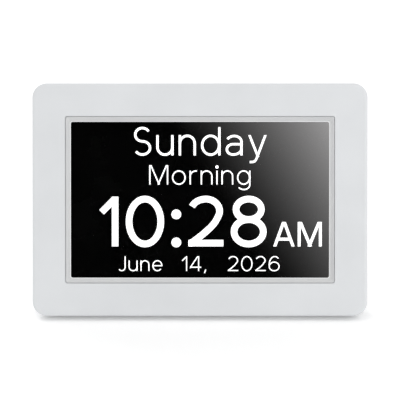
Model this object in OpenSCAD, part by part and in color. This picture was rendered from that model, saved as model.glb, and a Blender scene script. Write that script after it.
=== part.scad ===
// Digital day clock that leans back on a fold-out leg, taken apart into its pieces.
// The pieces are drawn upright: X to the right, Y from the face to the back, Z up the face, with the
// face at y = 0 and the frame's lower edge at z = 0. lean_back() tips the finished clock on to the table.

/* [Front frame] */
// Width of the front frame
frame_w = 200; // [198:1:224]
// Height of the front frame
frame_h = 139; // [136:1:158]
// Depth of the front frame
frame_depth = 11; // [11:0.5:13]
// Radius of the frame's four corners
frame_corner_r = 8.6; // [7:0.2:12]
// Rounding of the frame's front edge
frame_edge_r = 1.5; // [0.8:0.1:2]
// Thickness of the frame's front face
face_t = 2.5; // [2:0.1:3]
// Thickness of the frame's side walls
frame_wall = 3.4; // [3:0.1:4]
// Width of the step inside the rim that the rear cover sits on
rim_step = 1.2; // [1:0.1:1.6]

/* [Screen] */
// Width of the screen that shows
view_w = 154.1; // [146:0.1:154.5]
// Height of the screen that shows
view_h = 93; // [86:0.1:94]
// Width of the sloping trim around the screen
trim_band = 3.4; // [3:0.1:4.4]
// Width of the trim's inner lip
trim_lip = 1.4; // [1:0.1:1.6]
// How far the trim's outer edge lies below the face
trim_sink = 0.3; // [0.2:0.1:0.6]
// Depth of the trim's inner lip below the face
lip_sink = 2; // [1.6:0.1:2.1]
// Thickness of the clear window
lens_t = 1.2; // [1:0.1:1.6]
// Thickness of the foam gasket
gasket_t = 0.8; // [0.6:0.1:1.2]
// Width of the display module's border round the screen
module_border = 5.45; // [5:0.05:6]
// Thickness of the display's glass
glass_t = 1.4; // [1:0.1:1.8]
// Thickness of the display's diffuser films
films_t = 0.6; // [0.4:0.1:0.8]
// Thickness of the display's light guide
guide_t = 2; // [1.6:0.1:2.4]
// Thickness of the display's sheet steel
sheet_t = 0.4; // [0.3:0.1:0.5]

/* [Rear cover] */
// Depth of the whole clock, face to back
clock_depth = 24; // [24:0.5:28]
// How far the rear cover's sides lie inside the frame's
cover_inset = 4; // [4:0.5:5]
// Radius of the rear cover's corners
cover_corner_r = 7; // [6:0.5:9]
// Rounding of the rear cover's back edge
cover_edge_r = 3; // [2:0.5:3.5]
// Thickness of the rear cover's walls
cover_wall = 2; // [1.8:0.1:2.4]
// Thickness of the rear cover's flange
flange_t = 1.8; // [1.6:0.1:2.2]
// Diameter of the screws that hold the rear cover
cover_screw_d = 2.6; // [2:0.1:3]
// Distance of those screws from the rear cover's sides
screw_edge = 7; // [7:0.5:9]

/* [Rear openings] */
// Diameter of a keyhole's round entry
keyhole_d = 8; // [7:0.5:9]
// Width of a keyhole's slot
keyhole_slot_w = 4; // [3.5:0.5:4.5]
// Length of a keyhole's slot, centre to centre
keyhole_run = 7; // [6:0.5:8]
// Distance between the two keyholes
keyhole_pitch = 140; // [136:1:144]
// Depth that a keyhole gives the head of a wall screw
keyhole_pocket = 3.2; // [3:0.1:3.6]
// Diameter of the speaker grille's holes
grille_hole_d = 2; // [1.5:0.1:2.4]
// Rings of holes in the speaker grille
grille_rings = 3; // [2:1:3]
// Number of vent slots
vent_count = 8; // [5:1:8]
// Width of a vent slot
vent_w = 1.8; // [1.4:0.1:2.2]
// Length of a vent slot
vent_len = 34; // [28:1:36]

/* [Stand] */
// Angle that the clock leans back
lean = 15; // [12:1:17]
// Angle that the leg opens to
leg_open = 24; // [22:1:27]
// Height of the leg's hinge up the clock
hinge_h = 80; // [76:1:84]
// Width of the leg
leg_w = 46; // [38:1:48]
// Thickness of the leg
leg_t = 4.6; // [4.2:0.1:5]
// Length of the leg above its hinge
heel_len = 7; // [6:0.5:8]
// Diameter of the hinge pin
pin_d = 2.4; // [2:0.1:2.6]
// Gap under the frame's edge when the clock stands on its feet
ground_gap = 0.5; // [0.3:0.1:0.8]
// Width of a rubber foot
foot_w = 16; // [12:1:20]
// Distance between the two rubber feet
foot_pitch = 140; // [120:1:150]

/* [Buttons] */
// Distance between buttons
button_pitch = 16; // [13:0.5:17]
// Width of a button
button_w = 8.4; // [7:0.1:9.4]
// Height of a button
button_h = 5.4; // [5:0.1:7]
// How far a button stands out of the back
button_proud = 1; // [0.8:0.1:1.5]
// Travel of a button
button_travel = 0.6; // [0.4:0.1:0.7]

/* [Electronics] */
// Thickness of the main board
board_t = 1.6; // [1.2:0.1:1.7]
// Diameter of the screws that hold the main board
board_screw_d = 2.2; // [2:0.1:2.4]
// Bore of the power socket
jack_bore_d = 3.7; // [3.5:0.1:4]
// Diameter of the power socket's centre contact
jack_contact_d = 1.3; // [1:0.1:1.4]
// Diameter of the hole that the power plug's collar goes through
jack_hole_d = 8; // [7:0.5:9]
// Diameter of the speaker
speaker_d = 36; // [32:1:38]
// Diameter of the backup cell
cell_d = 20; // [18:1:20]
// Diameter of the speaker's wires
wire_d = 1.2; // [1:0.1:1.4]

/* [Hidden] */
$fn = 48;
eps = 0.01;            // overlap that keeps a cut from ending on a face
slip = 0.1;            // gap between pieces that drop together
nest = 0.05;           // gap between pressed sheets that nest
guide_gap = 0.2;       // gap round a piece that slides
pin_run = 0.12;        // difference in diameter of a turning fit
pin_seat = 0.04;       // difference in diameter of a held fit
stop_gap = 0.05;       // gap at the leg's stop
screw_room = 0.4;      // difference in diameter of a screw and the hole it passes through

// What lies behind what, from the face to the back
trim_back = face_t + 1.3;
trim_flange_front = face_t;
lens_front = trim_back - lens_t;
gasket_front = trim_back;
module_front = gasket_front + gasket_t;
glass_front = module_front + sheet_t;
films_front = glass_front + glass_t;
guide_front = films_front + films_t;
reflector_t = 0.3;
reflector_front = guide_front + guide_t;
tray_front = reflector_front + reflector_t;
module_back = tray_front + sheet_t;
clamp_t = 1;
clamp_head_t = 1.3;
board_front = module_back + clamp_t + clamp_head_t + 0.8;
board_back = board_front + board_t;
flange_front = frame_depth - flange_t;
cover_inner = clock_depth - cover_wall;

// The front frame, what sits in it and the cover's outline
screen_z = frame_h / 2;
cover_w = frame_w - 2 * cover_inset;
cover_h = frame_h - 2 * cover_inset;
cover_half = cover_w / 2 - cover_wall;
opening_w = view_w + 2 * trim_band;
opening_h = view_h + 2 * trim_band;
opening_r = 1.2;
view_r = 0.6;
lens_lap = 1.6;
module_w = view_w + 2 * module_border;
module_h = view_h + 2 * module_border;
module_r = 1;
glass_w = view_w + 5.6;
glass_h = view_h + 5.6;
backlight_w = module_w - 4 * sheet_t - 4 * nest;
backlight_h = module_h - 4 * sheet_t - 4 * nest;
guide_w = view_w + 2.6;
guide_h = view_h + 2.6;
module_low = screen_z - module_h / 2;
clamp_screw_d = 2;
clamp_w = 8;
clamp_lap = 6;
clamp_end = 2.1;
clamp_post_d = 4.4;
clamp_rise = (module_h + cover_h - 2 * cover_wall) / 4;
clamp_x = module_w / 2 - 50;
clamp_head_d = 3.8;
rib_t = 1.5;
rib_len = 12;

// The rear cover
screw_x = cover_w / 2 - screw_edge;
screw_low = cover_inset + screw_edge;
boss_d = cover_screw_d + 3.8;
tube_d = cover_screw_d + 5;
sink_d = cover_screw_d + 3;
sink_floor = flange_front + 3.8;

// The stand. The table is where world z is 0
lift = frame_depth * sin(lean) + ground_gap;
hinge_y = clock_depth - leg_t / 2 - 0.2;
recess_floor = hinge_y - leg_t / 2 - 0.3;
recess_half = leg_w / 2 + 1;
recess_top = hinge_h + heel_len + 1.2;
recess_wall = 2;
ear_t = 2;
ear_x = recess_half + recess_wall + ear_t;
pin_len = 2 * ear_x - 1;
leg_tilt = leg_open - lean;
hinge_world_z = hinge_h * cos(lean) - hinge_y * sin(lean) + lift;
pad_proud = 1.4;
leg_len = hinge_world_z / cos(leg_tilt) - pad_proud;
pad_w = 30;
pad_t = 3;
pad_grip = 6;
scoop_r = 9;
scoop_z = 26;
foot_front = frame_depth + 2;
foot_depth = 8;
foot_peg_d = 4;

// The clock's footprint, which the origin is centred on
front_reach = frame_edge_r * (cos(lean) + sin(lean) - 1);
cover_reach = (clock_depth - cover_edge_r) * cos(lean)
    + (frame_h - cover_inset - cover_edge_r) * sin(lean) + cover_edge_r;
leg_reach = hinge_y * cos(lean) + hinge_h * sin(lean) + (leg_len + pad_proud) * sin(leg_tilt)
    + leg_t / 2 * cos(leg_tilt);
footprint_y = (front_reach + max(cover_reach, leg_reach)) / 2;

// Where the display's flexible tail runs
tail_w = 24;
tail_t = 0.2;
tail_x = module_w / 2 - tail_w - 0.5;
tail_front = glass_front + glass_t - tail_t;
connector_t = 1.6;
connector_h = 5;
connector_end = 3;
tail_back = board_front - (connector_t + tail_t) / 2;
tail_loop_d = tail_back + tail_t - tail_front;
tail_low = max(module_low - 2, cover_inset + cover_wall + tail_loop_d / 2 + slip);

// The main board, an L across the top and down the right-hand side
board_top = frame_h - 13;
board_strip = 38;
board_left = -50;
board_right = screw_x - tube_d / 2 - 2.2;
board_low = cover_inset + cover_wall + 10;
column_left = tail_x - tail_w / 2 - 10;
parts_left = max(column_left, recess_half + scoop_r + recess_wall + 1);
strip_low = board_top - board_strip;
hole_in = 5;
board_post_d = 6;
board_head_d = 4;
board_head_t = 1.4;
jack_z = board_low + 10;
jack_len = 13;
jack_depth = 9;
jack_w = 9;
jack_t = 6;
jack_axis_y = board_back + jack_t / 2;
tab_w = 14;
connector_z = board_low + 9;
coil_w = 7;
coil_t = 3;
coil_x = board_right - coil_w / 2 - 4.5;
coil_z = jack_z + 16;
can_d = 6.3;
can_h = 5.4;
can_base = 1;
can_step = 10;
cell_t = 3.2;
cell_floor = 0.8;
cell_rim = 1.5;
cell_x = board_right - cell_d / 2 - cell_rim - 11.5;
cell_z = jack_z + 50;
board_holes = [
    [board_left + hole_in, board_top - hole_in],
    [board_right - hole_in, board_top - hole_in],
    [board_left + hole_in, strip_low + hole_in],
    [parts_left + hole_in, board_low + hole_in],
    [board_right - hole_in, cell_z - cell_d / 2],
];
can_places = [
    [parts_left + can_d / 2 + 4, board_low + 2 * can_step],
    [parts_left + can_d / 2 + 4, board_low + 3 * can_step],
    [-recess_half / 2, max(recess_top + recess_wall, strip_low) + can_d / 2 + 2.6],
];
chip_t = 1.4;
cpu_w = 14;
cpu_x = 8;
memory_w = 10;
memory_x = -18;
small_chip_w = 5;
small_chip_h = 6;
regulator_x = 30;
amplifier_x = -25;
amplifier_drop = 6;

// The buttons and the switches under them
button_z = frame_h - 21;
button_count = 5;
button_r = 1.6;
button_flange_t = 1;
button_stem_d = 3;
switch_w = 6;
switch_t = 3.5;
plunger_d = 3.4;
plunger_top = board_back + switch_t + 0.8;
plunger_low = board_back + 1.2;

// The speaker, the vents and the backup cell
side_x = (recess_half + cover_half) / 2;
side_z = 45;
speaker_flange_t = 1;
speaker_foam_t = 0.6;
speaker_back = cover_inner - speaker_foam_t;
magnet_d = speaker_d / 2;
magnet_t = 3;
basket_t = 3.2;
body_d = speaker_d - 8;
cone_d = body_d - 2.2;
cone_seat = basket_t - 0.6;
terminal_w = 3.8;
terminal_t = 1.6;
hook_t = 1.2;
hook_front = speaker_back - speaker_flange_t - hook_t - nest;
grille_step = 4.2;
vent_step = 4.4;
keyhole_z = frame_h - 39;

// The speaker's socket on the board
socket_x = board_left + 17;
socket_z = strip_low + 8;
socket_w = 8;
socket_h = 6;
socket_t = 4;
socket_wall = 0.8;
wire_apart = 1.6;

// Tips the upright clock back and sets it on the table, over the middle of its footprint
module lean_back() {
    translate([0, -footprint_y, lift]) rotate([-lean, 0, 0]) children();
}

// A flat shape drawn in X and Z, filled from y0 back to y1
module slab(y0, y1) {
    translate([0, y1, 0]) rotate([90, 0, 0]) linear_extrude(y1 - y0) children();
}

// A round bar along Y
module bar(d, y0, y1) {
    translate([0, y1, 0]) rotate([90, 0, 0]) cylinder(d = d, h = y1 - y0);
}

// A flat shape drawn in Y and Z, filled from x0 to x1
module strip(x0, x1) {
    translate([x0, 0, 0]) rotate([90, 0, 90]) linear_extrude(x1 - x0) children();
}

module at(x, z) {
    translate([x, 0, z]) children();
}

module rounded(w, h, r) {
    square([w - 2 * r, h], center = true);
    square([w, h - 2 * r], center = true);
    for (x = [-1, 1], y = [-1, 1])
        translate([x * (w / 2 - r), y * (h / 2 - r)]) circle(r);
}

module frame_shape(w, h, r) {
    translate([0, screen_z]) rounded(w, h, r);
}

module ring_shape(w, h, r, hole_w, hole_h, hole_r) {
    difference() {
        frame_shape(w, h, r);
        frame_shape(hole_w, hole_h, hole_r);
    }
}

// The edge of a plate: r is its reach from the corner's centre, t its thickness, f its rounding
module edge_profile(r, t, f) {
    square([r - f, t]);
    translate([0, f]) square([r, t - f]);
    translate([r - f, f]) circle(f);
}

// A plate with round corners and one rounded face, at z = 0
module soft_plate(w, h, r, t, f) {
    translate([-(w / 2 - r), -(h / 2 - r), 0]) cube([w - 2 * r, h - 2 * r, t]);
    for (turn = [0 : 90 : 270]) {
        upright = turn % 180 == 0;
        run = (upright ? h : w) - 2 * r;
        reach = (upright ? w : h) / 2 - r;
        side = (upright ? h : w) / 2 - r;
        rotate(turn) translate([reach, run / 2, 0]) rotate([90, 0, 0])
            linear_extrude(run) edge_profile(r, t, f);
        rotate(turn) translate([reach, side, 0])
            rotate_extrude(angle = 90) edge_profile(r, t, f);
    }
}

// A screw standing on z = 0 with its shank below and a cross recess in its head
module cross_screw(head_d, head_t, shank_d, shank_len) {
    slot = [0.6 * head_d, 0.16 * head_d, head_t];
    difference() {
        cylinder(d = head_d, h = head_t);
        translate([0, 0, head_t]) cube(slot, center = true);
        translate([0, 0, head_t]) rotate(90) cube(slot, center = true);
    }
    translate([0, 0, -shank_len]) cylinder(d = shank_d, h = shank_len + eps);
}

module at_cover_screws() {
    for (x = [-screw_x, screw_x], z = [screw_low, frame_h - screw_low]) at(x, z) children();
}

module at_clamps() {
    for (x = [-1, 1], z = [-1, 1]) at(x * clamp_x, screen_z + z * clamp_rise) children();
}

module at_board_holes() {
    for (p = board_holes) at(p[0], p[1]) children();
}

function button_x(i) = (i - (button_count - 1) / 2) * button_pitch;

// The moulded front, with posts for the clamps and for the rear cover's screws
module front_frame() {
    lean_back() color("gainsboro") difference() {
        union() {
            difference() {
                translate([0, 0, screen_z]) rotate([-90, 0, 0])
                    soft_plate(frame_w, frame_h, frame_corner_r, frame_depth, frame_edge_r);
                slab(face_t, frame_depth + 1)
                    frame_shape(frame_w - 2 * frame_wall, frame_h - 2 * frame_wall,
                        frame_corner_r - frame_wall);
                slab(flange_front, frame_depth + 1)
                    frame_shape(frame_w - 2 * (frame_wall - rim_step), frame_h - 2 * (frame_wall - rim_step),
                        frame_corner_r - frame_wall + rim_step);
            }
            at_cover_screws() bar(boss_d, face_t - eps, flange_front);
            at_clamps() bar(clamp_post_d, face_t - eps, module_back);
            slab(face_t - eps, module_back - 2) corner_ribs();
        }
        slab(-1, face_t + 1) frame_shape(opening_w, opening_h, opening_r);
        at_cover_screws() bar(cover_screw_d + slip, face_t + 1, flange_front + 1);
        at_clamps() bar(clamp_screw_d + slip, face_t + 1, module_back + 1);
    }
}

// Four L-shaped ribs that the display module drops between
module corner_ribs() {
    difference() {
        frame_shape(module_w + 1 + 2 * rib_t, module_h + 1 + 2 * rib_t, module_r);
        frame_shape(module_w + 1, module_h + 1, module_r / 2);
        frame_shape(frame_w, module_h - 2 * rib_len, module_r);
        frame_shape(module_w - 2 * rib_len, frame_h, module_r);
    }
}

// The sloping surround, with a flange behind the frame's face and a seat for the window
module screen_trim() {
    slope_w = view_w + 2 * trim_lip;
    slope_h = view_h + 2 * trim_lip;
    lean_back() color("silver") difference() {
        union() {
            slab(trim_sink, trim_flange_front + eps)
                frame_shape(opening_w - 2 * slip, opening_h - 2 * slip, opening_r - slip);
            slab(trim_flange_front, trim_back) frame_shape(module_w, module_h, module_r);
        }
        hull() {
            slab(trim_sink - 1, trim_sink)
                frame_shape(opening_w - 0.8, opening_h - 0.8, opening_r - slip);
            slab(lip_sink - eps, lip_sink) frame_shape(slope_w, slope_h, view_r);
        }
        slab(-1, trim_back + 1) frame_shape(view_w, view_h, view_r);
        slab(lens_front, trim_back + 1)
            frame_shape(view_w + 2 * lens_lap + slip, view_h + 2 * lens_lap + slip, view_r);
    }
}

module screen_window() {
    lean_back() color("lightblue", 0.4) slab(lens_front, trim_back)
        frame_shape(view_w + 2 * lens_lap, view_h + 2 * lens_lap, view_r);
}

module foam_gasket() {
    lean_back() color("dimgray") slab(gasket_front, module_front)
        ring_shape(module_w - 1, module_h - 1, module_r, view_w + 1.2, view_h + 1.2, view_r);
}

// The gap that the tail leaves the display module by
module tail_gate() {
    room = 0.4;
    low = module_low - 1;
    translate([tail_x - tail_w / 2 - room, tail_front - room, low])
        cube([tail_w + 2 * room, tail_t + 2 * room, screen_z - glass_h / 2 - low]);
}

module lcd_bezel() {
    lean_back() color("slategray") difference() {
        slab(module_front, tray_front) frame_shape(module_w, module_h, module_r);
        slab(glass_front, tray_front + 1)
            frame_shape(module_w - 2 * sheet_t, module_h - 2 * sheet_t, module_r - sheet_t);
        slab(module_front - 1, glass_front + 1) frame_shape(view_w + 0.8, view_h + 0.8, view_r);
        tail_gate();
    }
}

module lcd_glass() {
    lean_back() color("black") slab(glass_front, films_front) frame_shape(glass_w, glass_h, view_r);
}

// The white moulding that holds the glass in front and the light guide behind
module backlight_frame() {
    lean_back() color("white") difference() {
        slab(glass_front, tray_front) frame_shape(backlight_w, backlight_h, view_r);
        slab(glass_front - 1, films_front) frame_shape(glass_w + slip, glass_h + slip, view_r);
        slab(films_front - eps, tray_front + 1) frame_shape(guide_w + slip, guide_h + slip, view_r);
        tail_gate();
        slab(guide_front, tray_front + 1) led_bay(slip);
    }
}

// The bay under the light guide that holds the row of lamps
module led_bay(gap) {
    translate([-(view_w + gap) / 2, screen_z - guide_h / 2 - 1.6 - gap / 2])
        square([view_w + gap, 1.6 + gap]);
}

module diffuser_films() {
    lean_back() color("whitesmoke") slab(films_front, guide_front) frame_shape(guide_w, guide_h, view_r);
}

module light_guide() {
    lean_back() color("azure") slab(guide_front, reflector_front) frame_shape(guide_w, guide_h, view_r);
}

module reflector_sheet() {
    lean_back() color("snow") slab(reflector_front, tray_front) frame_shape(guide_w, guide_h, view_r);
}

// A narrow circuit strip with its lamps facing up into the light guide
module led_strip() {
    lamps = 24;
    lamp_step = (view_w - 8) / (lamps - 1);
    base_z = screen_z - guide_h / 2;
    lean_back() color("khaki") {
        slab(guide_front + 1.4, tray_front) led_bay(0);
        for (i = [0 : lamps - 1])
            translate([(i - (lamps - 1) / 2) * lamp_step - 1.5, guide_front + 0.4, base_z - 1.1])
                cube([3, 1, 1]);
    }
}

module lcd_tray() {
    tray_w = module_w - 2 * sheet_t - 2 * nest;
    tray_h = module_h - 2 * sheet_t - 2 * nest;
    lean_back() color("silver") difference() {
        union() {
            slab(tray_front, module_back) frame_shape(module_w, module_h, module_r);
            slab(films_front, tray_front + eps)
                ring_shape(tray_w, tray_h, view_r, tray_w - 2 * sheet_t, tray_h - 2 * sheet_t, view_r / 2);
        }
        tail_gate();
    }
}

// The flexible tail leaves the foot of the glass, turns back on itself and rises to the board
module lcd_tail() {
    lean_back() color("peru") strip(tail_x - tail_w / 2, tail_x + tail_w / 2) {
        translate([tail_front, tail_low]) square([tail_t, screen_z - glass_h / 2 - tail_low]);
        translate([tail_back, tail_low]) square([tail_t, connector_z + connector_h - 1 - tail_low]);
        translate([tail_front + tail_loop_d / 2, tail_low]) difference() {
            circle(d = tail_loop_d);
            circle(d = tail_loop_d - 2 * tail_t);
            translate([-tail_loop_d, 0]) square(2 * tail_loop_d);
        }
    }
}

// Four steel straps, screwed to the frame's posts and lapped over the display module
module panel_clamps() {
    reach = clamp_rise - module_h / 2 + clamp_lap;
    lean_back() color("silver") for (x = [-1, 1], z = [-1, 1])
        at(x * clamp_x, screen_z + z * clamp_rise) difference() {
            slab(module_back, module_back + clamp_t)
                translate([0, z * (clamp_end - reach) / 2]) rounded(clamp_w, reach + clamp_end, module_r);
            bar(clamp_screw_d + screw_room, module_back - 1, module_back + clamp_t + 1);
        }
}

module clamp_screws() {
    lean_back() color("gray") at_clamps() translate([0, module_back + clamp_t, 0]) rotate([-90, 0, 0])
        cross_screw(clamp_head_d, clamp_head_t, clamp_screw_d, module_back - face_t - 1);
}

module main_board() {
    lean_back() color("darkgreen") difference() {
        slab(board_front, board_back) {
            translate([board_left, strip_low]) square([board_right - board_left, board_strip]);
            translate([column_left, board_low]) square([board_right - column_left, board_top - board_low]);
            translate([board_right - 1, jack_z - tab_w / 2])
                square([cover_half - 1 - board_right, tab_w]);
        }
        at_board_holes() bar(board_screw_d + screw_room, board_front - 1, board_back + 1);
    }
}

// A square chip with its middle at x and z, on the front of the board or behind it
module chip(x, z, w, h, behind = false) {
    translate([x - w / 2, behind ? board_back : board_front - chip_t, z - h / 2]) cube([w, chip_t, h]);
}

// The processor, its memory and the regulator in front, the amplifier and the clock chip behind
module board_chips() {
    mid_z = board_top - board_strip / 2;
    lean_back() color("black") {
        chip(cpu_x, mid_z, cpu_w, cpu_w);
        chip(memory_x, mid_z, memory_w, memory_w);
        chip(regulator_x, mid_z, small_chip_w, small_chip_h);
        chip(amplifier_x, mid_z - amplifier_drop, small_chip_h, small_chip_w, true);
        chip(board_right - small_chip_w, cell_z, small_chip_w, small_chip_h, true);
    }
}

module tail_connector() {
    lean_back() color("ivory") difference() {
        translate([tail_x - tail_w / 2 - connector_end, board_front - connector_t, connector_z])
            cube([tail_w + 2 * connector_end, connector_t, connector_h]);
        translate([tail_x - tail_w / 2 - nest, tail_back - nest, connector_z - 1])
            cube([tail_w + 2 * nest, tail_t + 2 * nest, connector_h]);
    }
}

module key_switches() {
    lean_back() color("dimgray") for (i = [0 : button_count - 1])
        at(button_x(i), button_z) difference() {
            translate([-switch_w / 2, board_back, -switch_w / 2]) cube([switch_w, switch_t, switch_w]);
            bar(plunger_d + pin_run, plunger_low - button_travel - slip, board_back + switch_t + 1);
        }
}

module plunger(i) {
    lean_back() color("black") at(button_x(i), button_z) bar(plunger_d, plunger_low, plunger_top);
}

module menu_plunger() plunger(0);
module back_plunger() plunger(1);
module down_plunger() plunger(2);
module up_plunger() plunger(3);
module set_plunger() plunger(4);

// A cap that shows, a flange that stays behind the wall and a stem that reaches the switch
module button(i) {
    lean_back() color("lightgray") at(button_x(i), button_z) {
        slab(cover_inner - eps, clock_depth + button_proud) rounded(button_w, button_h, button_r);
        slab(cover_inner - button_flange_t, cover_inner)
            rounded(button_w + 2.4, button_h + 2.4, button_r);
        bar(button_stem_d, plunger_top, cover_inner - button_flange_t + eps);
    }
}

module menu_button() button(0);
module back_button() button(1);
module down_button() button(2);
module up_button() button(3);
module set_button() button(4);

// A round cup, open above so that the cell slides out
module cell_holder() {
    floor_y = board_back + cell_floor;
    lean_back() color("black") at(cell_x, cell_z) difference() {
        bar(cell_d + 2 * cell_rim, board_back, floor_y + cell_t);
        bar(cell_d + 2 * slip, floor_y, floor_y + cell_t + 1);
        translate([-cell_d / 5, floor_y, 0]) cube([cell_d * 0.4, cell_t + 1, cell_d]);
    }
}

module backup_cell() {
    step = 0.3;
    low_y = board_back + cell_floor;
    lean_back() color("lightgray") at(cell_x, cell_z) {
        bar(cell_d, low_y, low_y + cell_t - step);
        bar(cell_d - 2 * cell_rim, low_y + cell_t - step - eps, low_y + cell_t);
    }
}

// Two cans beside the power socket and one beside the amplifier
module capacitors() {
    base_w = can_d + 0.3;
    lean_back() color("silver") for (p = can_places) at(p[0], p[1]) {
        translate([-base_w / 2, board_back, -base_w / 2]) cube([base_w, can_base, base_w]);
        bar(can_d, board_back + can_base - eps, board_back + can_h);
    }
}

// A square ferrite block with a ring groove in its back
module power_coil() {
    groove = 0.5;
    lean_back() color("darkslategray") at(coil_x, coil_z) difference() {
        translate([-coil_w / 2, board_back, -coil_w / 2]) cube([coil_w, coil_t, coil_w]);
        difference() {
            bar(coil_w - 2 * groove, board_back + coil_t - groove, board_back + coil_t + 1);
            bar(coil_w - 4 * groove, board_back, board_back + coil_t + 2);
        }
    }
}

// The socket's block lies on the board with its mouth at the cover's side wall
module power_socket() {
    mouth_x = cover_half - slip;
    lean_back() color("black") difference() {
        translate([mouth_x - jack_len, board_back, jack_z - jack_w / 2]) cube([jack_len, jack_t, jack_w]);
        translate([mouth_x - jack_depth, jack_axis_y, jack_z]) rotate([0, 90, 0])
            cylinder(d = jack_bore_d, h = jack_depth + 1);
        translate([mouth_x - jack_len - 1, jack_axis_y, jack_z]) rotate([0, 90, 0])
            cylinder(d = jack_contact_d + nest, h = jack_len);
    }
}

module power_contact() {
    lean_back() color("gold") translate([cover_half - slip - jack_len, jack_axis_y, jack_z])
        rotate([0, 90, 0]) cylinder(d = jack_contact_d, h = jack_len - 1);
}

// The speaker's steel basket, with a strip of two terminals beside the magnet
module speaker_basket() {
    lean_back() color("silver") at(-side_x, side_z) {
        difference() {
            union() {
                bar(speaker_d, speaker_back - speaker_flange_t, speaker_back);
                bar(body_d, speaker_back - basket_t, speaker_back - speaker_flange_t + eps);
            }
            bar(cone_d + 2 * slip, speaker_back - cone_seat, speaker_back + 1);
            bar(magnet_d - terminal_w, speaker_back - basket_t - 1, speaker_back);
        }
        translate([body_d / 2 - terminal_w - slip, speaker_back - basket_t - terminal_t, -terminal_w])
            cube([terminal_w, terminal_t, 2 * terminal_w]);
    }
}

module speaker_magnet() {
    lean_back() color("dimgray") at(-side_x, side_z) {
        bar(magnet_d, speaker_back - basket_t - magnet_t, speaker_back - basket_t);
        bar(magnet_d - 1.5 * terminal_w, speaker_back - basket_t - eps, speaker_back - cone_seat + 0.3);
    }
}

// A shallow dome, glued to the basket's seat at its edge
module speaker_cone() {
    lean_back() color("black") at(-side_x, side_z) translate([0, speaker_back - cone_seat, 0])
        rotate([-90, 0, 0]) rotate_extrude() polygon([
            [0, 1.7], [cone_d / 5, 1.5], [cone_d / 2 - 1, 0], [cone_d / 2, 0], [cone_d / 2, 0.4],
            [cone_d / 2 - 1, 0.5], [cone_d / 5, 1.9], [0, 2.1]
        ]);
}

module speaker_foam() {
    lean_back() color("dimgray") at(-side_x, side_z) difference() {
        bar(speaker_d, speaker_back, cover_inner);
        bar(body_d + 1, speaker_back - 1, cover_inner + 1);
    }
}

module speaker_connector() {
    lean_back() color("ivory") at(socket_x, socket_z) difference() {
        translate([-socket_w / 2, board_back, -socket_h / 2]) cube([socket_w, socket_t, socket_h]);
        translate([socket_wall - socket_w / 2, board_back + socket_wall, -socket_h])
            cube([socket_w - 2 * socket_wall, socket_t - 2 * socket_wall, socket_h + 1]);
    }
}

function mix(a, b, t) = a + (b - a) * t;
function bend(p, t) = let (
    a = mix(p[0], p[1], t), b = mix(p[1], p[2], t), c = mix(p[2], p[3], t)
) mix(mix(a, b, t), mix(b, c, t), t);
function unit(v) = v / norm(v);

// A round wire swept along a curve with four control points
module wire(p, d) {
    steps = 22;
    sides = 10;
    line = [for (i = [0 : steps]) bend(p, i / steps)];
    points = [for (i = [0 : steps]) let (
        way = unit(line[min(i + 1, steps)] - line[max(i - 1, 0)]),
        across = unit(cross(way, [0, 1, 0])),
        over = cross(way, across)
    ) for (k = [0 : sides - 1]) let (turn = 360 * k / sides)
        line[i] + d / 2 * (cos(turn) * across + sin(turn) * over)];
    last = steps * sides;
    walls = [for (i = [0 : steps - 1], k = [0 : sides - 1]) let (
        a = i * sides + k, b = i * sides + (k + 1) % sides
    ) for (face = [[a, b, a + sides], [b, b + sides, a + sides]]) face];
    ends = [for (k = [1 : sides - 2]) for (face = [[0, k + 1, k], [last, last + k, last + k + 1]]) face];
    polyhedron(points, concat(walls, ends));
}

// From the speaker's terminals up into the connector on the board, 1 inside the bend, -1 outside
module speaker_wire(side) {
    start_x = -side_x + body_d / 2 - slip;
    start_y = speaker_back - basket_t - terminal_t / 2;
    start_z = side_z + wire_apart * side;
    end_x = socket_x - wire_apart * side;
    end_y = board_back + socket_t / 2;
    lean_back() wire([
        [start_x, start_y, start_z], [end_x, start_y, start_z],
        [end_x, end_y, (start_z + socket_z) / 2], [end_x, end_y, socket_z + 1]
    ], wire_d);
}

module red_wire() color("red") speaker_wire(1);
module black_wire() color("black") speaker_wire(-1);

module board_screws() {
    lean_back() color("gray") at_board_holes() translate([0, board_front, 0]) rotate([90, 0, 0])
        cross_screw(board_head_d, board_head_t, board_screw_d, cover_inner - board_front - 2);
}

module keyhole_shape() {
    circle(d = keyhole_d);
    translate([-keyhole_slot_w / 2, 0]) square([keyhole_slot_w, keyhole_run]);
    translate([0, keyhole_run]) circle(d = keyhole_slot_w);
}

// The pocket behind a keyhole, whose walls keep a wall screw off the board
module keyhole_room(grow) {
    translate([-keyhole_d / 2 - 1 - grow, -keyhole_d / 2 - 1 - grow])
        square([keyhole_d + 2 + 2 * grow, keyhole_d + keyhole_run + 2 * grow]);
}

module rear_shell() {
    difference() {
        union() {
            translate([0, clock_depth, screen_z]) rotate([90, 0, 0])
                soft_plate(cover_w, cover_h, cover_corner_r, clock_depth - flange_front - eps, cover_edge_r);
            slab(flange_front, frame_depth)
                frame_shape(frame_w - 2 * (frame_wall - rim_step + guide_gap),
                    frame_h - 2 * (frame_wall - rim_step + guide_gap),
                    frame_corner_r - frame_wall + rim_step - guide_gap);
        }
        slab(flange_front - 1, cover_inner)
            frame_shape(cover_w - 2 * cover_wall, cover_h - 2 * cover_wall, cover_corner_r - cover_wall);
    }
}

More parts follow.
